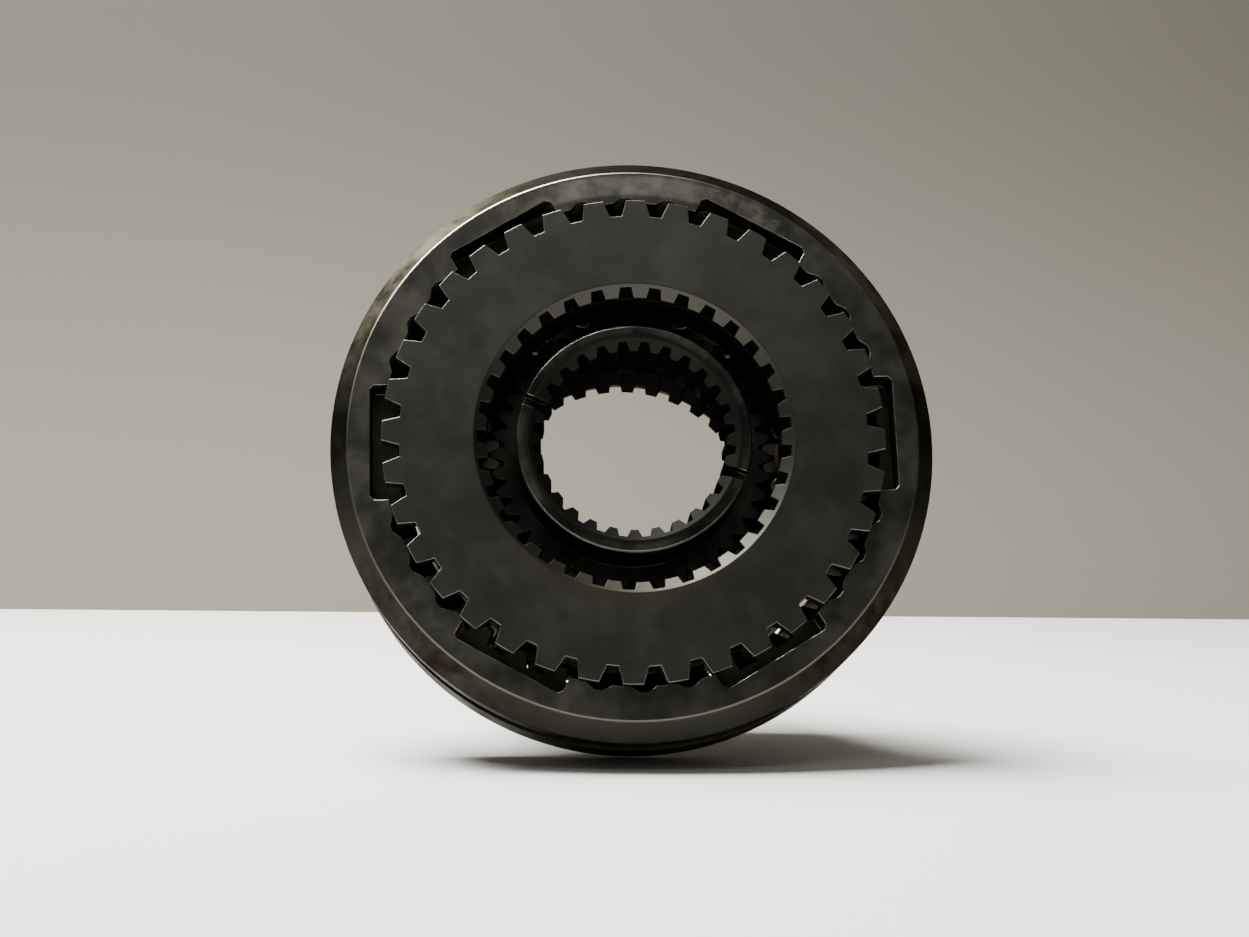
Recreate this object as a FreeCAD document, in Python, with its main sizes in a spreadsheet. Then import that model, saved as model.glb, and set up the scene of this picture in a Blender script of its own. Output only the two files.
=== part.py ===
"""Planetary gear set of a range gearbox, with a toothed clutch plate in front of its sliding ring gear.

Every piece is modelled on its own axis, which is its local Y axis. Its front end is at local y = 0 and
+Y runs towards the back. A placement then puts it on the main axis at its depth behind the ring gear's
front face. Angles run anticlockwise as seen from the front, from +X towards +Z. The row's origin is on
the main axis, in the rear face of the carrier's hub. All sizes are in millimetres and degrees.
"""

import FreeCAD, Part
import math
import os
import re

import Sketcher
from FreeCAD import Placement, Rotation, Vector

SIZES = {
    # ring gear: outside
    "ring_face_r": 106.5,
    "ring_edge_r": 107.0,
    "ring_edge_w": 0.3,
    "ring_od_r": 113.9,
    "ring_bevel_w": 8.0,
    "fork_front": 17.0,
    "fork_back": 29.0,
    "fork_r": 105.9,
    "ring_w": 50.0,
    "ring_rear_bevel": 1.6,
    # ring gear: clutch teeth
    "clutch_count": 36,
    "clutch_root_r": 94.1,
    "clutch_tip_r": 88.0,
    "clutch_ramp_w": 3.4,
    "clutch_end": 20.0,
    "clutch_root_half": 3.9,
    "clutch_mouth_half": 5.0,
    "clutch_phase": 7.1,
    "notch_outer_r": 96.4,
    "notch_outer_half": 1.3,
    "notch_inner_r": 93.1,
    "notch_inner_half": 6.0,
    # ring gear: windows
    "window_count": 6,
    "window_flat_r": 98.4,
    "window_half": 22.25,
    "window_corner": 1.6,
    "window_depth": 11.0,
    "window_phase": 1.85,
    # gear teeth
    "gear_module": 2.5,
    "gear_angle": 25.0,
    "addendum": 2.4,
    "dedendum": 3.0,
    "flank_play": 0.06,
    "ring_teeth": 72,
    "planet_teeth": 15,
    "sun_teeth": 42,
    "gear_front": 24.0,
    "relief_r": 96.0,
    # clutch plate
    "plate_front": 3.0,
    "plate_w": 6.0,
    "plate_tip_r": 93.8,
    "plate_root_r": 87.3,
    "plate_gap_half": 2.2,
    "plate_mouth_half": 4.85,
    "plate_phase": 4.7,
    "plate_hub_r": 63.0,
    "plate_hub_w": 8.8,
    # output spline, in the clutch plate and in the carrier's hub
    "spline_count": 33,
    "spline_tip_r": 55.4,
    "spline_root_r": 58.75,
    "spline_root_half": 2.15,
    "spline_mouth_half": 3.05,
    "spline_phase": 6.0,
    "spline_lead_r": 59.9,
    "spline_lead_w": 3.0,
    # sun gear
    "sleeve_r": 44.2,
    "sleeve_edge": 0.6,
    "input_count": 28,
    "input_tip_r": 35.0,
    "input_root_r": 38.1,
    "input_root_half": 1.5,
    "input_mouth_half": 2.8,
    "input_phase": 6.6,
    "input_lead_r": 39.6,
    "input_lead_w": 2.6,
    "input_w": 24.0,
    "sun_relief_r": 45.5,
    "sun_relief_front": 31.0,
    "sun_gear_front": 23.5,
    "sun_gear_back": 50.5,
    "sun_tail_r": 49.0,
    "sun_w": 56.0,
    "slot_half": 2.1,
    "slot_depth": 5.0,
    "slot_phase": 160.5,
    # planets
    "planet_count": 6,
    "planet_front": 24.3,
    "planet_w": 25.5,
    "planet_bore_r": 11.0,
    "planet_bevel": 0.8,
    "needle_count": 20,
    "needle_r": 1.2,
    "needle_orbit_r": 9.75,
    "needle_w": 22.0,
    "washer_hole_r": 8.6,
    "washer_r": 15.5,
    "washer_w": 1.15,
    "pin_r": 8.5,
    "pin_front": 12.8,
    "pin_w": 46.2,
    "pin_bevel": 0.8,
    "oil_hole_r": 2.0,
    "lock_r": 1.5,
    "lock_inner_r": 76.0,
    "lock_y": 55.2,
    # carrier cover and its screws
    "cover_front": 6.0,
    "cover_w": 16.8,
    "cover_bore_r": 57.0,
    "cover_r": 86.0,
    "cover_bevel": 1.0,
    "screw_hole_r": 4.25,
    "screw_head_bore_r": 7.0,
    "screw_head_bore_w": 8.5,
    "screw_r": 4.0,
    "screw_w": 28.0,
    "screw_head_r": 6.5,
    "screw_head_w": 8.0,
    "screw_bevel": 0.6,
    "screw_socket_half": 3.0,
    "screw_socket_w": 4.0,
    "tapped_w": 18.0,
    # carrier body and output hub
    "carrier_front": 51.2,
    "carrier_plate_w": 8.8,
    "post_r": 10.5,
    "washer_seat_r": 59.8,
    "washer_seat_w": 6.8,
    "hub_throat_r": 57.0,
    "hub_relief_r": 60.0,
    "hub_relief_front": 4.2,
    "hub_spline_w": 40.0,
    "pilot_r": 62.0,
    "pilot_w": 12.0,
    "hub_w": 62.2,
    "hub_r": 72.0,
    "hub_step": 29.2,
    "hub_nose_r": 68.0,
    "hub_bevel": 1.5,
    # thrust washers
    "front_washer_y": 3.1,
    "front_washer_w": 2.8,
    "front_washer_bore_r": 64.5,
    "front_washer_r": 84.0,
    "groove_count": 6,
    "groove_half": 1.5,
    "groove_depth": 0.8,
    "sun_washer_y": 56.2,
    "sun_washer_w": 1.7,
    "sun_washer_bore_r": 47.0,
    "sun_washer_r": 59.6,
    # shared by small pieces
    "washer_gap": 0.1,
    "washer_bevel": 0.2,
    # how far a cut runs past the metal, and the least width of a tapered end
    "overcut": 1.0,
    "sliver": 0.01,
}
DERIVED = {
    "origin_y": "carrier_front + carrier_plate_w + hub_w",
    "orbit_r": "gear_module * (sun_teeth + planet_teeth) / 2",
    "ring_gear_tip_r": "gear_module * ring_teeth / 2 - addendum",
    "planet_tip_r": "gear_module * planet_teeth / 2 + addendum",
    "sun_tip_r": "gear_module * sun_teeth / 2 + addendum",
    "post_w": "carrier_front - cover_front - cover_w",
    "screw_y": "cover_front + screw_head_bore_w - screw_head_w",
    "pitch": "360 / planet_count",
    "ramp_slope": "clutch_ramp_w / (notch_outer_r - clutch_root_r)",
}
LEAST_CUT = 0.001  # the least volume, in cubic millimetres, that counts as a cut
SIDEWAYS, INTO_DEPTH, UPWARD = Vector(1, 0, 0), Vector(0, 1, 0), Vector(0, 0, 1)
TOWARDS_VIEWER = Vector(0, -1, 0)

doc = FreeCAD.newDocument("planetary_gear_set")
sheet = doc.addObject("Spreadsheet::Sheet", "Sheet")
for row, (alias, size) in enumerate(SIZES.items(), start=1):
    sheet.set("A%d" % row, alias)
    sheet.set("B%d" % row, str(size))
    sheet.setAlias("B%d" % row, alias)
for row, (alias, formula) in enumerate(DERIVED.items(), start=len(SIZES) + 1):
    sheet.set("A%d" % row, alias)
    sheet.set("B%d" % row, "=" + formula)
    sheet.setAlias("B%d" % row, alias)
doc.recompute()


def number(text):
    """The value of a formula written with the sheet's aliases."""
    return float(sheet.evalExpression(str(text)))


def bound(text):
    """The same formula as an object outside the sheet writes it."""
    return re.sub(r"[a-z][a-z_]*", r"Sheet.\g<0>", str(text))


def bind(thing, prop, text):
    """Binds a property to a formula of the sheet."""
    thing.setExpression(prop, bound(text))


def origin_part(body, role):
    """One of the body's own origin planes or axes."""
    return next(f for f in body.Origin.OriginFeatures if f.Role == role)


def new_body(label, front):
    """An empty body whose front end is at the given depth behind the ring gear's face."""
    body = doc.addObject("PartDesign::Body", label)
    body.Label = label
    body.Placement = Placement(Vector(0, number(front) - number("origin_y"), 0), Rotation())
    bind(body, "Placement.Base.y", front + " - origin_y")
    return body


def new_sketch(body, name, role, depth=None, phase=None):
    """A sketch on an origin plane, moved back to a depth and turned to a phase angle."""
    sketch = body.newObject("Sketcher::SketchObject", name)
    sketch.AttachmentSupport = [(origin_part(body, role), "")]
    sketch.MapMode = "FlatFace"
    if depth is not None:
        sketch.setExpression("AttachmentOffset.Base.z", "-(%s)" % bound(depth))
    if phase is not None:
        sketch.setExpression("AttachmentOffset.Rotation.Angle", "(%s) * 1 deg" % bound(phase))
    return sketch


def add_loop(sketch, count, at):
    """A closed loop of straight lines through the points that at(index) gives, joined end to end."""
    first = sketch.GeometryCount
    for i in range(count):
        sketch.addGeometry(Part.LineSegment(at(i), at((i + 1) % count)))
    for i in range(count):
        joined = Sketcher.Constraint("Coincident", first + i, 2, first + (i + 1) % count, 1)
        sketch.addConstraint(joined)
    return first


def pin_down(sketch, line, across, along):
    """Binds the start of a line to two formulas, measured from the sketch's origin."""
    for kind, text in (("DistanceX", across), ("DistanceY", along)):
        if number(text) == 0:
            axis = -2 if kind == "DistanceX" else -1
            sketch.addConstraint(Sketcher.Constraint("PointOnObject", line, 1, axis))
            continue
        rule = Sketcher.Constraint(kind, -1, 1, line, 1, number(text))
        index = sketch.addConstraint(rule)
        bind(sketch, "Constraints[%d]" % index, text)


def turn(body, name, corners):
    """A turned solid. Each corner is its radius and its depth."""
    sketch = new_sketch(body, name + "_profile", "XY_Plane")
    points = [Vector(number(radius), number(depth), 0) for radius, depth in corners]
    first = add_loop(sketch, len(points), lambda i: points[i])
    for i, (radius, depth) in enumerate(corners):
        pin_down(sketch, first + i, radius, depth)
    solid = body.newObject("PartDesign::Revolution", name)
    solid.Profile = sketch
    solid.ReferenceAxis = (sketch, ["V_Axis"])
    solid.Angle = 360
    sketch.Visibility = False


def even_outline(sketch, half):
    """A loop that is even about the sketch's X axis. half lists (radius, half width) on its upper side."""
    count = len(half)

    def at(i):
        radius, width = half[min(i, 2 * count - 1 - i)]
        side = 1 if i < count else -1
        return Vector(number(radius), side * number(width), 0)

    first = add_loop(sketch, 2 * count, at)
    for i, (radius, width) in enumerate(half):
        pin_down(sketch, first + i, radius, width)
        mirrored = first + 2 * count - 1 - i
        sketch.addConstraint(Sketcher.Constraint("Symmetric", first + i, 1, mirrored, 1, -1))


def repeat(body, feature, count):
    """Repeats a feature evenly round the body's axis."""
    pattern = body.newObject("PartDesign::PolarPattern", feature.Name + "_pattern")
    pattern.Originals = [feature]
    pattern.Axis = (origin_part(body, "Y_Axis"), [""])
    pattern.Angle = 360
    bind(pattern, "Occurrences", count)
    body.Tip = pattern


def cut(body, sketch, name, width, count=None):
    """A pocket that runs back from its sketch, repeated round the axis. It must remove metal."""
    doc.recompute()
    before = body.Shape.Volume
    pocket = body.newObject("PartDesign::Pocket", name)
    pocket.Profile = sketch
    bind(pocket, "Length", width)
    sketch.Visibility = False
    if count is not None:
        repeat(body, pocket, count)
    doc.recompute()
    if not body.Shape.Volume < before - LEAST_CUT:
        raise RuntimeError("%s removed nothing" % name)


def cut_spaces(body, name, half, width, count, phase="0", depth="0"):
    """Straight-sided spaces between teeth, cut by one pocket and repeated."""
    sketch = new_sketch(body, name + "_outline", "XZ_Plane", depth, phase)
    even_outline(sketch, half)
    cut(body, sketch, name, width, count)


def circle_sketch(body, name, offset, radius, phase="0", depth="0", role="XZ_Plane"):
    """A sketch of one circle, its centre on the sketch's X axis."""
    sketch = new_sketch(body, name + "_outline", role, depth, phase)
    sketch.addGeometry(Part.Circle(Vector(number(offset), 0, 0), Vector(0, 0, 1), number(radius)))
    size = sketch.addConstraint(Sketcher.Constraint("Radius", 0, number(radius)))
    bind(sketch, "Constraints[%d]" % size, radius)
    sketch.addConstraint(Sketcher.Constraint("PointOnObject", 0, 3, -1))
    place = sketch.addConstraint(Sketcher.Constraint("DistanceX", -1, 1, 0, 3, number(offset)))
    bind(sketch, "Constraints[%d]" % place, offset)
    return sketch


def cut_circles(body, name, orbit, radius, width, count, phase="0", depth="0"):
    """Round holes on a circle, along the axis."""
    sketch = circle_sketch(body, name, orbit, radius, phase, depth)
    cut(body, sketch, name, width, count)


def cut_lock_hole(body, name, outer_x, inner_x, depth, count=None):
    """A radial hole for a lock pin, from an outer distance along X to an inner one."""
    sketch = circle_sketch(body, name, depth, "lock_r", depth="-(%s)" % outer_x, role="YZ_Plane")
    cut(body, sketch, name, "%s - (%s)" % (outer_x, inner_x), count)


def involute(angle):
    """The involute function of a pressure angle in radians."""
    return math.tan(angle) - angle


def flank_half_angle(radius, teeth, inside):
    """Half the angle that a space of a gear takes up at a radius."""
    pitch_r = number("gear_module") * teeth / 2
    pressure = math.radians(number("gear_angle"))
    base_r = pitch_r * math.cos(pressure)
    here = math.acos(min(1.0, base_r / radius))
    tooth = math.pi / (2 * teeth) + involute(pressure) - involute(here)
    play = number("flank_play") / pitch_r
    return tooth + play if inside else math.pi / teeth - tooth + play


def cut_gear(body, name, teeth_alias, width, depth, phase, inside):
    """Involute spaces. Each flank is one arc through three points of the involute."""
    teeth = int(number(teeth_alias))
    pitch_r = number("gear_module") * teeth / 2
    outward = 1 if inside else -1
    root_r = pitch_r + outward * number("dedendum")
    tip_r = pitch_r - outward * number("addendum")
    mouth_r = tip_r - outward * number("addendum") / 2
    radii = (tip_r, (tip_r + root_r) / 2, root_r)

    def at(radius, side, seen_r=None):
        angle = side * flank_half_angle(seen_r or radius, teeth, inside)
        return Vector(radius * math.cos(angle), radius * math.sin(angle), 0)

    upper = [at(r, 1) for r in radii]
    lower = [at(r, -1) for r in radii]
    mouth = [at(mouth_r, side, tip_r) for side in (1, -1)]
    sketch = new_sketch(body, name + "_outline", "XZ_Plane", depth, phase)
    sketch.addGeometry(Part.LineSegment(mouth[0], upper[0]))
    sketch.addGeometry(Part.ArcOfCircle(*upper))
    sketch.addGeometry(Part.LineSegment(upper[2], lower[2]))
    sketch.addGeometry(Part.ArcOfCircle(*reversed(lower)))
    sketch.addGeometry(Part.LineSegment(lower[0], mouth[1]))
    sketch.addGeometry(Part.LineSegment(mouth[1], mouth[0]))
    cut(body, sketch, name, width, teeth_alias)


def make_ring_gear():
    """The sliding ring: bevelled rim, fork groove, windows, ramped clutch teeth and gear teeth."""
    body = new_body("ring_gear", "0")
    turn(body, "ring_blank", [
        ("clutch_root_r", "0"),
        ("ring_face_r", "0"),
        ("ring_edge_r", "ring_edge_w"),
        ("ring_od_r", "ring_bevel_w"),
        ("ring_od_r", "fork_front"),
        ("fork_r", "fork_front"),
        ("fork_r", "fork_back"),
        ("ring_od_r", "fork_back"),
        ("ring_od_r", "ring_w - ring_rear_bevel"),
        ("ring_od_r - ring_rear_bevel", "ring_w"),
        ("ring_gear_tip_r + ring_rear_bevel", "ring_w"),
        ("ring_gear_tip_r", "ring_w - ring_rear_bevel"),
        ("ring_gear_tip_r", "gear_front"),
        ("relief_r", "gear_front"),
        ("relief_r", "clutch_end"),
        ("clutch_tip_r", "clutch_end"),
        ("clutch_tip_r", "(notch_outer_r - clutch_tip_r) * ramp_slope"),
        ("clutch_root_r", "clutch_ramp_w"),
    ])
    cut_spaces(body, "clutch_spaces", [
        ("clutch_tip_r - 2 * overcut", "clutch_mouth_half"),
        ("clutch_root_r", "clutch_root_half"),
    ], "clutch_end + overcut", "clutch_count", "clutch_phase")
    cut_notches(body)
    cut_spaces(body, "windows", [
        ("clutch_tip_r - 2 * overcut", "window_half"),
        ("window_flat_r - window_corner", "window_half"),
        ("window_flat_r", "window_half - window_corner"),
    ], "window_depth", "window_count", "window_phase")
    cut_gear(body, "ring_gear_spaces", "ring_teeth", "ring_w - gear_front + overcut", "gear_front",
             "0", True)
    return body


def cut_notches(body):
    """The ramp of each clutch tooth runs out through the front face as a notch that narrows outwards."""
    notch = body.newObject("PartDesign::SubtractiveWedge", "notch")
    limits = {
        "Xmin": "-notch_inner_half",
        "Xmax": "notch_inner_half",
        "X2min": "-notch_outer_half",
        "X2max": "notch_outer_half",
        "Ymin": "notch_inner_r",
        "Ymax": "notch_outer_r",
        "Zmin": "-clutch_ramp_w",
        "Zmax": "(notch_outer_r - notch_inner_r) * ramp_slope",
        "Z2min": "-clutch_ramp_w",
        "Z2max": "sliver",
    }
    for prop, text in limits.items():
        bind(notch, prop, text)
    lie_radially = Rotation(UPWARD, SIDEWAYS, INTO_DEPTH, "XYZ")
    tooth_angle = number("clutch_phase - 180 / clutch_count")
    notch.Placement = Placement(Vector(), Rotation(TOWARDS_VIEWER, tooth_angle) * lie_radially)
    repeat(body, notch, "clutch_count")
    doc.recompute()


def make_hub_plate():
    """The clutch plate: outer clutch teeth, a short hub behind it and the output spline in its bore."""
    body = new_body("hub_plate", "-plate_front")
    turn(body, "plate_blank", [
        ("spline_lead_r", "0"),
        ("plate_tip_r", "0"),
        ("plate_tip_r", "plate_w"),
        ("plate_hub_r", "plate_w"),
        ("plate_hub_r", "plate_hub_w"),
        ("spline_tip_r", "plate_hub_w"),
        ("spline_tip_r", "spline_lead_w"),
    ])
    cut_spaces(body, "plate_spaces", [
        ("plate_root_r", "plate_gap_half"),
        ("plate_tip_r + overcut", "plate_mouth_half"),
    ], "plate_w + overcut", "clutch_count", "plate_phase")
    cut_output_spline(body, "plate_hub_w + overcut", "0")
    return body


def cut_output_spline(body, width, depth):
    """The straight-sided spaces of the output spline."""
    cut_spaces(body, body.Name + "_spline", [
        ("spline_tip_r - overcut", "spline_mouth_half"),
        ("spline_root_r", "spline_root_half"),
    ], width, "spline_count", "spline_phase", depth)


def make_sun_gear():
    """The hollow sun gear: slotted sleeve, input spline, gear teeth and a wide relief behind the spline."""
    body = new_body("sun_gear", "0")
    turn(body, "sun_blank", [
        ("input_lead_r", "0"),
        ("sleeve_r - sleeve_edge", "0"),
        ("sleeve_r", "sleeve_edge"),
        ("sleeve_r", "sun_gear_front"),
        ("sun_tip_r - sleeve_edge", "sun_gear_front"),
        ("sun_tip_r", "sun_gear_front + sleeve_edge"),
        ("sun_tip_r", "sun_gear_back - sleeve_edge"),
        ("sun_tip_r - sleeve_edge", "sun_gear_back"),
        ("sun_tail_r", "sun_gear_back"),
        ("sun_tail_r", "sun_w"),
        ("sun_relief_r", "sun_w"),
        ("sun_relief_r", "sun_relief_front"),
        ("input_root_r + sleeve_edge", "input_w"),
        ("input_tip_r", "input_w"),
        ("input_tip_r", "input_lead_w"),
    ])
    cut_spaces(body, "input_spline", [
        ("input_tip_r - overcut", "input_mouth_half"),
        ("input_root_r", "input_root_half"),
    ], "input_w + overcut", "input_count", "input_phase")
    cut_spaces(body, "face_slots", [
        ("input_tip_r - overcut", "slot_half"),
        ("sleeve_r + overcut", "slot_half"),
    ], "slot_depth", "2", "slot_phase")
    gear_w = "sun_gear_back - sun_gear_front + sliver"
    cut_gear(body, "sun_spaces", "sun_teeth", gear_w, "sun_gear_front", sun_phase(), False)
    return body


def planet_angle(index):
    """Where a planet stands on its circle."""
    return index * number("pitch")


def planet_phase(index):
    """How far a planet is turned on its pin, so that one of its teeth is in a space of the ring gear."""
    at = planet_angle(index)
    tooth = at - at * number("ring_teeth / planet_teeth")
    return tooth + number("180 / planet_teeth")


def sun_phase():
    """The angle of a space of the sun gear, so that a tooth of the first planet is in it."""
    tooth_pitch = number("360 / planet_teeth")
    tooth = planet_phase(0) + number("180 / planet_teeth")
    past = (tooth - 180) % tooth_pitch
    return "%.6f" % (-past * number("planet_teeth / sun_teeth"))


def make_planet_gear(index):
    """A planet gear with a needle bore, turned into mesh."""
    body = new_body("planet_gear_%d" % (index + 1), "planet_front")
    turn(body, "planet_blank", [
        ("planet_bore_r", "0"),
        ("planet_tip_r - planet_bevel", "0"),
        ("planet_tip_r", "planet_bevel"),
        ("planet_tip_r", "planet_w - planet_bevel"),
        ("planet_tip_r - planet_bevel", "planet_w"),
        ("planet_bore_r", "planet_w"),
    ])
    cut_gear(body, "planet_spaces", "planet_teeth", "planet_w + overcut", "0", "0", False)
    set_on_circle(body, planet_angle(index), planet_phase(index))
    return body


def set_on_circle(body, angle, turned):
    """Moves a body from the main axis to the planets' circle and turns it on its own axis."""
    radians = math.radians(angle)
    bind(body, "Placement.Base.x", "orbit_r * %.9f" % math.cos(radians))
    bind(body, "Placement.Base.z", "orbit_r * %.9f" % math.sin(radians))
    body.Placement.Rotation = Rotation(TOWARDS_VIEWER, turned)


def make_planet_pin(index):
    """A planet pin with an oil hole down its middle and a blind hole for its lock pin."""
    body = new_body("planet_pin_%d" % (index + 1), "pin_front")
    turn(body, "pin_blank", [
        ("oil_hole_r", "0"),
        ("pin_r - pin_bevel", "0"),
        ("pin_r", "pin_bevel"),
        ("pin_r", "pin_w - pin_bevel"),
        ("pin_r - pin_bevel", "pin_w"),
        ("oil_hole_r", "pin_w"),
    ])
    cut_lock_hole(body, "pin_lock_hole", "pin_r + overcut", "lock_inner_r - orbit_r", "lock_y - pin_front")
    set_on_circle(body, planet_angle(index), planet_angle(index))
    return body


def at_angle(orbit, angle, depth):
    """The placement of a piece on a circle round the main axis, turned to face outwards."""
    radians = math.radians(angle)
    x, z = orbit * math.cos(radians), orbit * math.sin(radians)
    return Placement(Vector(x, depth - number("origin_y"), z), Rotation(TOWARDS_VIEWER, angle))


def group(label, pattern_piece, places):
    """One node of several equal solids, each a copy of the pattern piece at its own place."""
    doc.recompute()
    copies = []
    for place in places:
        solid = pattern_piece.Shape.copy()
        solid.Placement = place
        copies.append(solid)
    feature = doc.addObject("Part::Feature", label)
    feature.Label = label
    feature.Shape = Part.makeCompound(copies)
    return feature


def ring_body(label, bore_r, outer_r, width, bevel="washer_bevel", front="0"):
    """A flat ring with bevelled outer edges, on its own axis."""
    body = new_body(label, front)
    turn(body, label + "_blank", [
        (bore_r, "0"),
        ("%s - %s" % (outer_r, bevel), "0"),
        (outer_r, bevel),
        (outer_r, "%s - %s" % (width, bevel)),
        ("%s - %s" % (outer_r, bevel), width),
        (bore_r, width),
    ])
    return body


def make_planet_needles(index, needle):
    """The full ring of needle rollers inside one planet."""
    centre = at_angle(number("orbit_r"), planet_angle(index), number("planet_front"))
    middle = Vector(0, number("(planet_w - needle_w) / 2"), 0)
    count = int(number("needle_count"))
    places = []
    for i in range(count):
        turned = Placement(middle, Rotation(TOWARDS_VIEWER, i * 360 / count))
        outwards = Placement(Vector(number("needle_orbit_r"), 0, 0), Rotation())
        places.append(centre * turned * outwards)
    return group("planet_needles_%d" % (index + 1), needle, places)


def make_washers(label, washer, depth):
    """One thrust washer for each planet, in one node."""
    orbit = number("orbit_r")
    angles = [planet_angle(i) for i in range(int(number("planet_count")))]
    return group(label, washer, [at_angle(orbit, angle, depth) for angle in angles])


def make_carrier_cover():
    """The carrier's front plate: blind pin bores from behind and sunk screw holes from the front."""
    body = ring_body("carrier_cover", "cover_bore_r", "cover_r", "cover_w", "cover_bevel", "cover_front")
    pin_bore_w = "cover_front + cover_w - pin_front + overcut"
    cut_circles(body, "cover_pin_bores", "orbit_r", "pin_r", pin_bore_w, "planet_count", "0",
                "pin_front - cover_front")
    cut_circles(body, "screw_holes", "orbit_r", "screw_hole_r", "cover_w + overcut",
                "planet_count", "pitch / 2")
    cut_circles(body, "screw_head_bores", "orbit_r", "screw_head_bore_r", "screw_head_bore_w",
                "planet_count", "pitch / 2")
    return body


def make_carrier_body():
    """The carrier: a plate behind the planets, posts between them and the seat of the sun's washer."""
    body = new_body("carrier_body", "carrier_front")
    turn(body, "carrier_blank", [
        ("washer_seat_r", "0"),
        ("cover_r - cover_bevel", "0"),
        ("cover_r", "cover_bevel"),
        ("cover_r", "carrier_plate_w - cover_bevel"),
        ("cover_r - cover_bevel", "carrier_plate_w"),
        ("hub_throat_r", "carrier_plate_w"),
        ("hub_throat_r", "washer_seat_w"),
        ("washer_seat_r", "washer_seat_w"),
    ])
    add_posts(body)
    cut_circles(body, "tapped_holes", "orbit_r", "screw_r", "tapped_w", "planet_count", "pitch / 2",
                "-post_w")
    cut_circles(body, "carrier_pin_bores", "orbit_r", "pin_r", "pin_front + pin_w - carrier_front",
                "planet_count")
    cut_lock_hole(body, "carrier_lock_holes", "cover_r + overcut", "lock_inner_r", "lock_y - carrier_front",
                  "planet_count")
    return body


def make_output_hub():
    """The output hub, welded to the back of the carrier: a long internal spline and a pilot bore."""
    body = new_body("output_hub", "carrier_front + carrier_plate_w")
    turn(body, "hub_blank", [
        ("hub_throat_r", "0"),
        ("hub_r", "0"),
        ("hub_r", "hub_step"),
        ("hub_nose_r", "hub_step"),
        ("hub_nose_r", "hub_w - hub_bevel"),
        ("hub_nose_r - hub_bevel", "hub_w"),
        ("pilot_r", "hub_w"),
        ("pilot_r", "hub_w - pilot_w"),
        ("spline_tip_r", "hub_w - pilot_w"),
        ("spline_tip_r", "hub_w - pilot_w - hub_spline_w"),
        ("hub_relief_r", "hub_w - pilot_w - hub_spline_w"),
        ("hub_relief_r", "hub_relief_front"),
        ("hub_throat_r", "hub_relief_front"),
    ])
    cut_output_spline(body, "hub_spline_w + sliver", "hub_w - pilot_w - hub_spline_w")
    return body


def add_posts(body):
    """The posts that carry the cover, in front of the plate and between the planets."""
    sketch = circle_sketch(body, "post", "orbit_r", "post_r", "pitch / 2")
    post = body.newObject("PartDesign::Pad", "post")
    post.Profile = sketch
    bind(post, "Length", "post_w")
    sketch.Visibility = False
    repeat(body, post, "planet_count")


def make_cap_screw():
    """A socket head cap screw on its own axis, head first."""
    body = new_body("cap_screw", "0")
    turn(body, "screw_blank", [
        ("0", "0"),
        ("screw_head_r - screw_bevel", "0"),
        ("screw_head_r", "screw_bevel"),
        ("screw_head_r", "screw_head_w"),
        ("screw_r", "screw_head_w"),
        ("screw_r", "screw_w - screw_bevel"),
        ("screw_r - screw_bevel", "screw_w"),
        ("0", "screw_w"),
    ])
    corner = "screw_socket_half * %.9f" % (2 / math.sqrt(3))
    sketch = new_sketch(body, "socket_outline", "XZ_Plane")
    even_outline(sketch, [
        ("-%s / 2" % corner, "screw_socket_half"),
        ("%s / 2" % corner, "screw_socket_half"),
        (corner, "sliver"),
    ])
    cut(body, sketch, "socket", "screw_socket_w")
    return body


def make_pin_lock_pins():
    """The lock pins, pressed in from the carrier's rim, each across its planet pin."""
    lock = doc.addObject("Part::Cylinder", "lock_pin")
    bind(lock, "Radius", "lock_r")
    bind(lock, "Height", "cover_r - cover_bevel - lock_inner_r")
    places = []
    for i in range(int(number("planet_count"))):
        outwards = at_angle(number("lock_inner_r"), planet_angle(i), number("lock_y"))
        places.append(outwards * Placement(Vector(), Rotation(UPWARD, SIDEWAYS)))
    return group("pin_lock_pins", lock, places)


def make_front_thrust_washer():
    """The bronze washer behind the clutch plate, with oil grooves in its front face."""
    body = ring_body("front_thrust_washer", "front_washer_bore_r", "front_washer_r", "front_washer_w",
                     front="front_washer_y")
    cut_spaces(body, "oil_grooves", [
        ("front_washer_bore_r - 2 * overcut", "groove_half"),
        ("front_washer_r + overcut", "groove_half"),
    ], "groove_depth", "groove_count")
    return body


def planet_pieces():
    """Every piece that each planet has of its own."""
    needle = doc.addObject("Part::Cylinder", "needle")
    bind(needle, "Radius", "needle_r")
    bind(needle, "Height", "needle_w")
    roller = lying_copy(needle)
    pieces = []
    for index in range(int(number("planet_count"))):
        pieces.append(make_planet_gear(index))
        pieces.append(make_planet_pin(index))
        pieces.append(make_planet_needles(index, roller))
    return pieces


def lying_copy(piece):
    """The same solid with its own Z axis laid along the depth axis, starting at depth 0."""
    doc.recompute()
    shape = piece.Shape.copy()
    shape.rotate(Vector(), SIDEWAYS, -90)
    feature = doc.addObject("Part::Feature", piece.Name + "_lying")
    feature.Shape = Part.makeCompound([shape])
    return feature


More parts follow.
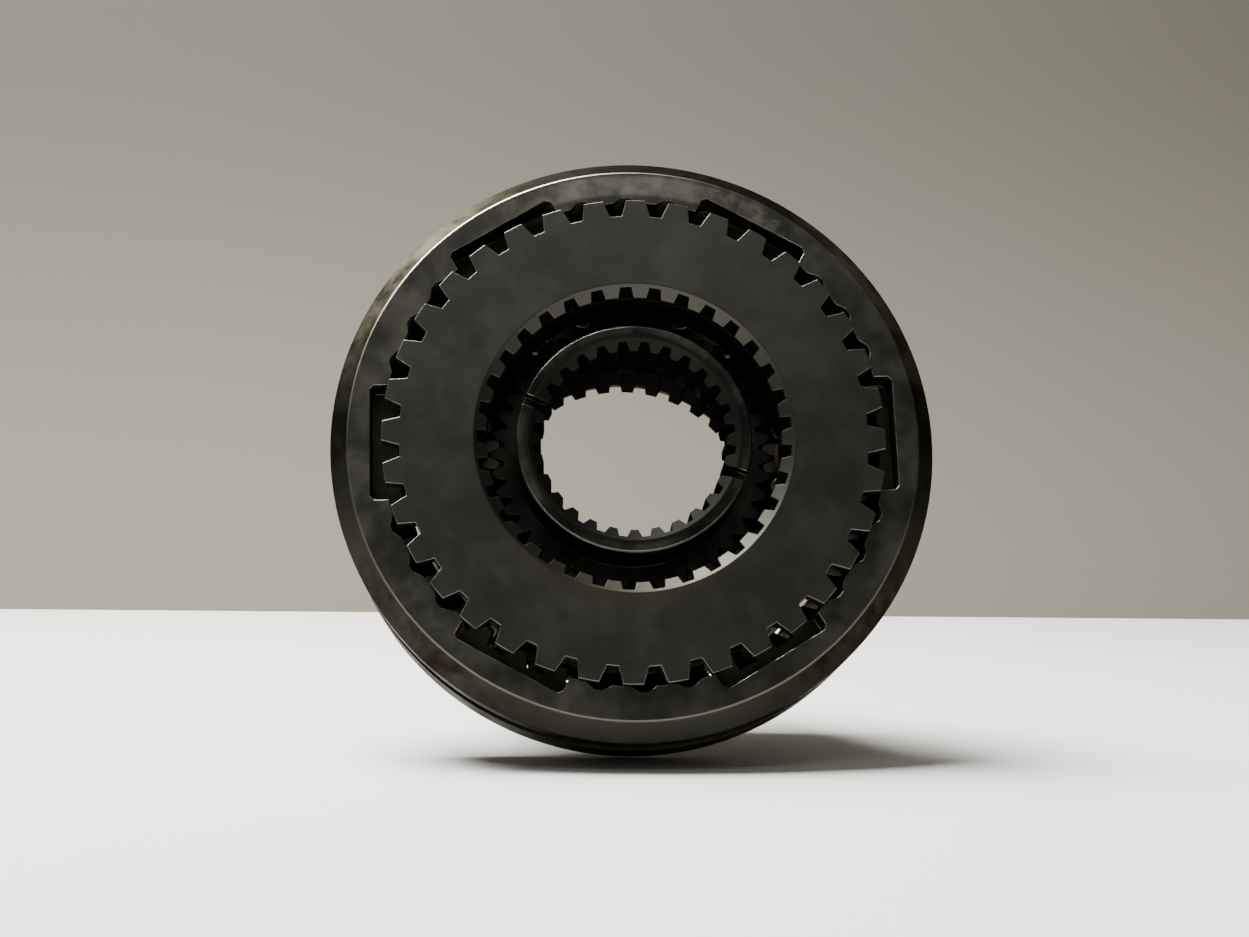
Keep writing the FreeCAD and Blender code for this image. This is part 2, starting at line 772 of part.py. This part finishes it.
def carrier_pieces():
    """The carrier and the small pieces fixed in it."""
    screw = make_cap_screw()
    washer = ring_body("planet_washer", "washer_hole_r", "washer_r", "washer_w")
    half_pitch = number("pitch / 2")
    screw_angles = [planet_angle(i) + half_pitch for i in range(int(number("planet_count")))]
    orbit, screw_y = number("orbit_r"), number("screw_y")
    rear_washer_y = number("planet_front + planet_w + washer_gap")
    front_washer_y = number("planet_front - washer_w - washer_gap")
    return [
        make_carrier_body(),
        make_output_hub(),
        make_carrier_cover(),
        group("carrier_screws", screw, [at_angle(orbit, a, screw_y) for a in screw_angles]),
        make_washers("planet_washers_front", washer, front_washer_y),
        make_washers("planet_washers_rear", washer, rear_washer_y),
        make_pin_lock_pins(),
        make_front_thrust_washer(),
        ring_body("sun_thrust_washer", "sun_washer_bore_r", "sun_washer_r", "sun_washer_w",
                  front="sun_washer_y"),
    ]


def check_and_export(pieces):
    """Stops if any object failed or any piece isn't a whole solid, and writes one STEP file a node."""
    doc.recompute()
    failed = [o.Name for o in doc.Objects if {"Invalid", "Error"} & set(o.State)]
    if failed:
        raise RuntimeError("these objects failed: %s" % ", ".join(failed))
    os.makedirs("parts", exist_ok=True)
    for piece in pieces:
        shape = piece.Shape
        if shape.isNull() or not shape.isValid() or not shape.Solids:
            raise RuntimeError("%s isn't a valid solid" % piece.Label)
        shape.exportStep("parts/%s.step" % piece.Label)
        print("%-22s %3d solids %12.1f mm3" % (piece.Label, len(shape.Solids), shape.Volume))


check_and_export([make_ring_gear(), make_hub_plate(), make_sun_gear()] + planet_pieces() + carrier_pieces())
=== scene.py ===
"""Looks, light and camera for the planetary gear set. Lengths are in metres, in the CAD model's frame.

The main axis is Y, and the front faces point along -Y. Angles on a face run anticlockwise from +X towards
+Z, as seen from the front.
"""

import math

import bpy
from mathutils import Matrix, Vector


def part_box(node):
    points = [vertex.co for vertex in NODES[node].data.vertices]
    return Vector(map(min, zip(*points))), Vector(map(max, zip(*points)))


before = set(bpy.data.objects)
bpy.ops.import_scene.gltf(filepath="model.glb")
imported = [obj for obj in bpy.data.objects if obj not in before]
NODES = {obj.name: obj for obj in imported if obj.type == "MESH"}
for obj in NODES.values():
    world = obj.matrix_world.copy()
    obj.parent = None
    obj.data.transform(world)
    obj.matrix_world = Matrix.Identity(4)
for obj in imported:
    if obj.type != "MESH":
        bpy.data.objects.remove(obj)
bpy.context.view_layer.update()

RING_LOW, RING_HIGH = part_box("ring_gear")
RING_FACE = RING_LOW.y
MILLIMETRE = 0.001
FACE_EDGE_R = 107.0 * MILLIMETRE  # where the ring's flat face ends and its bevel begins
PLATE_BORE_R = 60.0 * MILLIMETRE  # the wide end of the lead-in of the clutch plate's spline
SUN_BORE_R = 41.0 * MILLIMETRE
HUB_BORE_R = 61.0 * MILLIMETRE

# The scales of the patterns in the steel, in patches to the metre, and the depth of its turning marks.
CLOUDS, PATCHES, STREAKS, GRAIN, TURNING, SMUDGES = 60, 110, 60, 1500, 2600, 240
MARK_DEPTH = 0.012 * MILLIMETRE

# Stains and painted light on the ring and the plate: spans of angle in degrees, as start, end and soft
# margin.
# In order: dark brown streaks, golden painted highlights, a painted highlight on the rim line, a painted
# sheen at the top of the face, smudges, a brown tone, and painted light on the plate.
DARK_BROWN_SPANS = (-152, -112, 14), (-62, -22, 12)
GOLDEN_HIGHLIGHT_SPANS = (14, 52, 12), (125, 167, 12)
RIM_HIGHLIGHT_SPAN = (92, 165, 25)
FACE_SHEEN_SPAN = (72, 118, 16)
SMUDGE_SPAN = (55, 84, 5)
BROWN_SPAN = (-135, -50, 20)
LIT_SPAN = (20, 100, 30)

# The stage: the set stands on its ring, tipped back a little, so the floor rises behind it.
FLOOR_SLOPE = math.radians(15.0)
FLOOR_GAP = 0.2 * MILLIMETRE
FLOOR_TOUCH = Vector((0, RING_HIGH.y, RING_LOW.z + FLOOR_GAP))
WALL_AWAY = 0.89
STAGE_WIDTH, FLOOR_LENGTH, WALL_HEIGHT = 12, 2 * WALL_AWAY + 4, 8
# Painted shade: the stage's paint darkens between these heights.
DIM_FROM, DIM_TO = 0.12, 0.68  # heights between which the stage's paint gets darker

# The camera looks up at the front face from below the main axis, at close range.
CAMERA_PLACE = Vector((-0.0289, RING_FACE - 0.60, -0.189))
CAMERA_YAW, CAMERA_PITCH = math.radians(-2.4), math.radians(12.15)
LENS, SENSOR, SHIFT_Y = 48.4, 36.0, 0.10


class Shader:
    """A short way to write the nodes of one material."""

    def __init__(self, name):
        self.material = bpy.data.materials.new(name)
        self.material.use_nodes = True
        self.tree = self.material.node_tree
        self.surface = self.tree.nodes["Principled BSDF"]
        self.place = self.add("ShaderNodeTexCoord").outputs["Object"]

    def add(self, kind, inputs=(), **settings):
        """A node with its settings, its inputs filled with numbers or joined to outputs."""
        node = self.tree.nodes.new(kind)
        for name, value in settings.items():
            setattr(node, name, value)
        for key, value in dict(inputs).items():
            self.put(node.inputs[key], value)
        return node

    def put(self, socket, value):
        """Joins an output to a socket, or sets the socket's own value."""
        if isinstance(value, bpy.types.NodeSocket):
            self.tree.links.new(value, socket)
        else:
            socket.default_value = value

    def math(self, operation, first, second=0.0):
        """One arithmetic step."""
        return self.add("ShaderNodeMath", {0: first, 1: second}, operation=operation).outputs[0]

    def product(self, first, *others):
        """Masks and numbers multiplied together."""
        for other in others:
            first = self.math("MULTIPLY", first, other)
        return first

    def noise(self, scale, detail=3.0, roughness=0.55, place=None):
        """A cloudy pattern from 0 to 1, about scale patches to the metre."""
        inputs = {"Vector": place or self.place, "Scale": scale, "Detail": detail, "Roughness": roughness}
        return self.add("ShaderNodeTexNoise", inputs).outputs["Fac"]

    def step(self, value, low, high):
        """0 below low, 1 above high and smooth between them. low may be the larger of the two."""
        inputs = {"Value": value, "From Min": low, "From Max": high}
        return self.add("ShaderNodeMapRange", inputs, interpolation_type="SMOOTHSTEP").outputs[0]

    def between(self, value, low, high, soft):
        """1 from low to high, fading out over a soft margin on both sides."""
        rise = self.step(value, low - soft, low + soft)
        fall = self.step(value, high + soft, high - soft)
        return self.product(rise, fall)

    def mix(self, factor, first, second):
        """A blend of two colours."""
        node = self.add("ShaderNodeMix", {"Factor": factor}, data_type="RGBA")
        for socket, value in zip((node.inputs[6], node.inputs[7]), (first, second)):
            self.put(socket, value)
        return node.outputs[2]

    def stain(self, colour, tone, *masks):
        """The colour turned to a tone where every mask is 1."""
        return self.mix(self.product(*masks), colour, tone)

    def polar(self):
        """Each point's distance from the main axis and its angle in degrees, from -180 to 180."""
        split = self.add("ShaderNodeSeparateXYZ", {0: self.place}).outputs
        squares = [self.product(split[i], split[i]) for i in (0, 2)]
        radius = self.math("SQRT", self.math("ADD", *squares))
        angle = self.math("DEGREES", self.math("ARCTAN2", split[2], split[0]))
        return radius, angle

    def edge(self, width):
        """The normal with every edge rounded over a width, and a mask that is 1 on the edges."""
        rounded = self.add("ShaderNodeBevel", {"Radius": width}, samples=6).outputs["Normal"]
        flat = self.add("ShaderNodeNewGeometry").outputs["Normal"]
        turn = self.add("ShaderNodeVectorMath", {0: rounded, 1: flat}, operation="DOT_PRODUCT")
        return rounded, self.step(turn.outputs["Value"], 0.995, 0.86)

    def bump(self, height, depth, normal):
        """A bumped normal, depth metres from its lowest to its highest point."""
        inputs = {"Height": height, "Distance": depth, "Strength": 1.0, "Normal": normal}
        return self.add("ShaderNodeBump", inputs).outputs["Normal"]


def rgb(red, green, blue):
    """A colour with full alpha."""
    return (red, green, blue, 1.0)


def darker(colour, factor):
    """The same hue, darker by a factor."""
    return rgb(*(factor * channel for channel in colour[:3]))


def oily_steel(name, dark, light, worn, rough=(0.30, 0.52), edge_width=0.5, turned=0.5, spotted=0.45,
               glance=0.35):
    """Dark hardened steel with cloudy oil stains, fine turning marks and worn bright edges.

    rough is the roughness where it is oily and where it is dry. edge_width is in millimetres. turned and
    spotted are how strong the turning marks and the dark spots are, and glance is the tint of what it
    reflects at a flat angle.
    """
    shader = Shader(name)
    radius, angle = shader.polar()
    clouds = shader.noise(CLOUDS, 6, 0.62)
    patches = shader.noise(PATCHES, 4, 0.65)
    grain = shader.noise(GRAIN, 2)
    colour = shader.mix(shader.step(clouds, 0.30, 0.72), dark, light)
    colour = shader.stain(colour, darker(dark, 0.62), shader.step(patches, 0.52, 0.78), spotted)
    rounded, edges = shader.edge(edge_width * MILLIMETRE)
    colour = shader.stain(colour, worn, edges, shader.step(patches, 0.25, 0.62))
    rings = shader.add("ShaderNodeCombineXYZ", {0: shader.product(radius, TURNING)}).outputs[0]
    marks = shader.noise(1.0, 2, 0.6, rings)
    height = shader.math("ADD", shader.product(marks, turned), shader.product(grain, 0.5))
    shader.put(shader.surface.inputs["Normal"], shader.bump(height, MARK_DEPTH, rounded))
    dry = shader.step(shader.math("ADD", clouds, shader.product(patches, 0.4)), 0.5, 0.95)
    oily_rough, dry_rough = rough
    roughness = shader.math("MULTIPLY_ADD", dry, dry_rough - oily_rough)
    roughness.node.inputs[2].default_value = oily_rough
    shader.put(shader.surface.inputs["Roughness"], roughness)
    shader.surface.inputs["Metallic"].default_value = 1.0
    shader.surface.inputs["Specular Tint"].default_value = rgb(glance, glance, glance)
    return shader, colour, radius, angle


def finish_colour(shader, colour):
    """Sends a colour to the surface and returns the material."""
    shader.put(shader.surface.inputs["Base Color"], colour)
    return shader.material


def make_ring_steel():
    """The ring gear's steel: dark brown streaks and golden painted highlights on its bevel, a lighter rim
    line with a painted highlight at its upper left, a painted sheen at the top of its face, and smudges on
    its face.
    """
    shader, colour, radius, angle = oily_steel(
        "ring_steel", rgb(0.048, 0.046, 0.038), rgb(0.072, 0.070, 0.058), rgb(0.30, 0.285, 0.24),
        rough=(0.36, 0.50), spotted=0.3)
    streaks = shader.noise(STREAKS, 4, 0.7)
    smudges = shader.noise(SMUDGES, 3)

    def past_edge(millimetres):
        return FACE_EDGE_R + millimetres * MILLIMETRE

    on_bevel = shader.step(radius, past_edge(-0.4), past_edge(0.6))
    on_rim = shader.between(radius, past_edge(-0.5), FACE_EDGE_R, 0.1 * MILLIMETRE)
    on_face = shader.between(radius, past_edge(-9.5), past_edge(-1.5), 1.0 * MILLIMETRE)

    dark_brown, golden_highlight = [shader.math("ADD", *(shader.between(angle, *span) for span in spans))
                   for spans in (DARK_BROWN_SPANS, GOLDEN_HIGHLIGHT_SPANS)]
    colour = shader.stain(colour, rgb(0.020, 0.020, 0.016), on_bevel, 0.85)
    # Dark brown streaks on the bevel at the lower left and the lower right.
    colour = shader.stain(colour, rgb(0.009, 0.0055, 0.004), dark_brown, on_bevel, shader.step(streaks, 0.2, 0.7))
    # Golden painted highlights, in streaks, on the bevel at the upper right and the upper left.
    colour = shader.stain(colour, rgb(0.115, 0.105, 0.074), golden_highlight, on_bevel, shader.step(streaks, 0.25, 0.6))
    # A lighter line along the face's edge, and a bright painted highlight on it at the upper left.
    colour = shader.stain(colour, rgb(0.085, 0.080, 0.064), on_rim)
    colour = shader.stain(colour, rgb(0.42, 0.39, 0.29), on_rim, shader.between(angle, *RIM_HIGHLIGHT_SPAN))

    # A painted sheen, in streaks, lightens the top of the face.
    face_sheen = shader.product(shader.between(angle, *FACE_SHEEN_SPAN), shader.step(streaks, 0.15, 0.6))
    colour = shader.stain(colour, rgb(0.160, 0.152, 0.125), face_sheen, on_face)
    smudge = shader.product(shader.between(angle, *SMUDGE_SPAN), shader.step(smudges, 0.45, 0.62))
    colour = shader.stain(colour, rgb(0.150, 0.142, 0.112), smudge, on_face, 0.55)
    return finish_colour(shader, colour)


def make_plate_steel():
    """The clutch plate's steel: even, with painted light at its upper right, brown below its bore, and
    painted shade with old oil inside the bore.
    """
    shader, colour, radius, angle = oily_steel(
        "plate_steel", rgb(0.050, 0.050, 0.042), rgb(0.061, 0.060, 0.050), rgb(0.24, 0.235, 0.205),
        rough=(0.39, 0.45), spotted=0.2)
    near_bore = shader.step(radius, PLATE_BORE_R + 10 * MILLIMETRE, PLATE_BORE_R - 2 * MILLIMETRE)
    in_bore = shader.step(radius, PLATE_BORE_R + 0.6 * MILLIMETRE, PLATE_BORE_R)
    below, above = shader.between(angle, *BROWN_SPAN), shader.between(angle, *LIT_SPAN)
    colour = shader.stain(colour, rgb(0.090, 0.079, 0.056), near_bore, below, 0.5)
    # Painted light lightens the plate at its upper right.
    colour = shader.stain(colour, rgb(0.080, 0.079, 0.066), above, 0.5)
    # Painted shade, with old oil, darkens the plate inside its bore.
    colour = shader.stain(colour, rgb(0.030, 0.029, 0.025), in_bore, 0.65)
    return finish_colour(shader, colour)


def make_bored_steel(name, bore_r, dark, light, worn, **settings):
    """Steel that is rough and almost black inside a radius, from old oil and painted shade."""
    shader, colour, radius, angle = oily_steel(name, dark, light, worn, **settings)
    inside = shader.product(shader.step(radius, bore_r + MILLIMETRE, bore_r - MILLIMETRE), 0.9)
    roughness = shader.surface.inputs["Roughness"]
    rougher = shader.math("MAXIMUM", roughness.links[0].from_socket, shader.product(inside, 0.6))
    shader.put(roughness, rougher)
    # Inside the radius the colour is almost black: old oil and painted shade.
    return finish_colour(shader, shader.stain(colour, rgb(0.008, 0.008, 0.007), inside))


def make_plain_steel(name, dark, light, worn, **settings):
    """Steel with no stains of its own."""
    shader, colour = oily_steel(name, dark, light, worn, **settings)[:2]
    return finish_colour(shader, colour)


def paint(material, *names):
    """Gives CAD nodes a material."""
    for name in names:
        slots = NODES[name].data.materials
        slots.clear()
        slots.append(material)


def each(name):
    """The nodes of a piece that every planet has."""
    return sorted(n for n in NODES if n.startswith(name + "_") and n[-1].isdigit())


def paint_everything():
    """A material for every node."""
    paint(make_ring_steel(), "ring_gear")
    paint(make_plate_steel(), "hub_plate")
    paint(make_bored_steel("sun_steel", SUN_BORE_R, rgb(0.040, 0.039, 0.034), rgb(0.075, 0.073, 0.063),
                           rgb(0.26, 0.255, 0.22), rough=(0.22, 0.42), glance=0.1), "sun_gear")
    paint(make_bored_steel("carrier_steel", HUB_BORE_R, rgb(0.064, 0.062, 0.053), rgb(0.092, 0.089, 0.077),
                           rgb(0.24, 0.235, 0.205), turned=1.0, spotted=0.25, glance=0.1),
          "carrier_body", "carrier_cover", "output_hub")
    paint(make_plain_steel("planet_steel", rgb(0.090, 0.087, 0.075), rgb(0.150, 0.145, 0.125),
                           rgb(0.36, 0.35, 0.31)), *each("planet_gear"))
    paint(make_plain_steel("bearing_steel", rgb(0.26, 0.26, 0.25), rgb(0.40, 0.40, 0.38),
                           rgb(0.55, 0.54, 0.50), rough=(0.14, 0.28), edge_width=0.15),
          "pin_lock_pins", *each("planet_pin"), *each("planet_needles"))
    paint(make_plain_steel("screw_steel", rgb(0.030, 0.030, 0.032), rgb(0.055, 0.055, 0.057),
                           rgb(0.20, 0.20, 0.20), edge_width=0.25), "carrier_screws")
    paint(make_plain_steel("washer_bronze", rgb(0.15, 0.090, 0.042), rgb(0.25, 0.160, 0.078),
                           rgb(0.42, 0.29, 0.15), edge_width=0.15),
          "front_thrust_washer", "sun_thrust_washer", "planet_washers_front", "planet_washers_rear")


def stage_material(name, colour, roughness):
    """Pale matt paint with faint unevenness, and painted shade that darkens it higher up."""
    shader = Shader(name)
    painted = shader.mix(shader.noise(3.0), darker(colour, 0.94), colour)
    height = shader.add("ShaderNodeSeparateXYZ", {0: shader.place}).outputs[2]
    # Painted shade darkens the paint higher up.
    painted = shader.stain(painted, darker(colour, 0.45), shader.step(height, DIM_FROM, DIM_TO))
    shader.surface.inputs["Roughness"].default_value = roughness
    shader.surface.inputs["Specular IOR Level"].default_value = 0.0
    return finish_colour(shader, painted)


def stage_plane(name, middle, right, up, width, height, material):
    """A flat rectangle of the stage, spanned by two directions from its middle."""
    half_right, half_up = right * width / 2, up * height / 2
    corners = [middle - half_right - half_up, middle + half_right - half_up,
               middle + half_right + half_up, middle - half_right + half_up]
    mesh = bpy.data.meshes.new(name)
    mesh.from_pydata(corners, [], [(0, 1, 2, 3)])
    mesh.materials.append(material)
    plane = bpy.data.objects.new(name, mesh)
    bpy.context.scene.collection.objects.link(plane)


def make_stage():
    """The floor and a wall well behind the object."""
    right = Vector((1, 0, 0))
    back = Vector((0, math.cos(FLOOR_SLOPE), math.sin(FLOOR_SLOPE)))
    up = right.cross(back)
    floor = stage_material("floor_paint", rgb(0.95, 0.93, 0.885), 0.32)
    wall = stage_material("wall_paint", rgb(0.240, 0.221, 0.180), 0.6)
    stage_plane("floor", FLOOR_TOUCH, right, back, STAGE_WIDTH, FLOOR_LENGTH, floor)
    stage_plane("wall", FLOOR_TOUCH + back * WALL_AWAY, right, up, STAGE_WIDTH, WALL_HEIGHT, wall)


def aim(thing, place, target):
    """Puts an object at a place and points it at a target."""
    thing.location = place
    thing.rotation_mode = "QUATERNION"
    thing.rotation_quaternion = (target - place).to_track_quat("-Z", "Y")


def area_light(name, place, target, size, watts):
    """A soft rectangular light."""
    data = bpy.data.lights.new(name, "AREA")
    data.shape = "RECTANGLE"
    data.size, data.size_y = size
    data.energy = watts
    light = bpy.data.objects.new(name, data)
    bpy.context.scene.collection.objects.link(light)
    aim(light, Vector(place), Vector(target))


def make_lights():
    """A large soft light above, a weaker one above the camera, and a dim room."""
    middle = (0, RING_FACE, 0)
    area_light("ceiling", (-0.60, -0.35, 1.45), middle, (1.2, 0.9), 118)
    area_light("front", (-0.25, -1.5, 1.1), middle, (1.0, 0.4), 2)
    world = bpy.data.worlds.new("room")
    world.use_nodes = True
    room = world.node_tree.nodes["Background"]
    room.inputs["Color"].default_value = rgb(0.86, 0.84, 0.80)
    room.inputs["Strength"].default_value = 0.14
    bpy.context.scene.world = world


def make_camera():
    """The camera, pitched up at the face. Its shift brings the object back to the middle of the picture."""
    data = bpy.data.cameras.new("camera")
    data.lens, data.sensor_width, data.shift_y = LENS, SENSOR, SHIFT_Y
    camera = bpy.data.objects.new("camera", data)
    bpy.context.scene.collection.objects.link(camera)
    bpy.context.scene.camera = camera
    turn = Matrix.Rotation(CAMERA_YAW, 4, "Z") @ Matrix.Rotation(math.pi / 2 + CAMERA_PITCH, 4, "X")
    camera.matrix_world = Matrix.Translation(CAMERA_PLACE) @ turn


paint_everything()
make_stage()
make_lights()
make_camera()
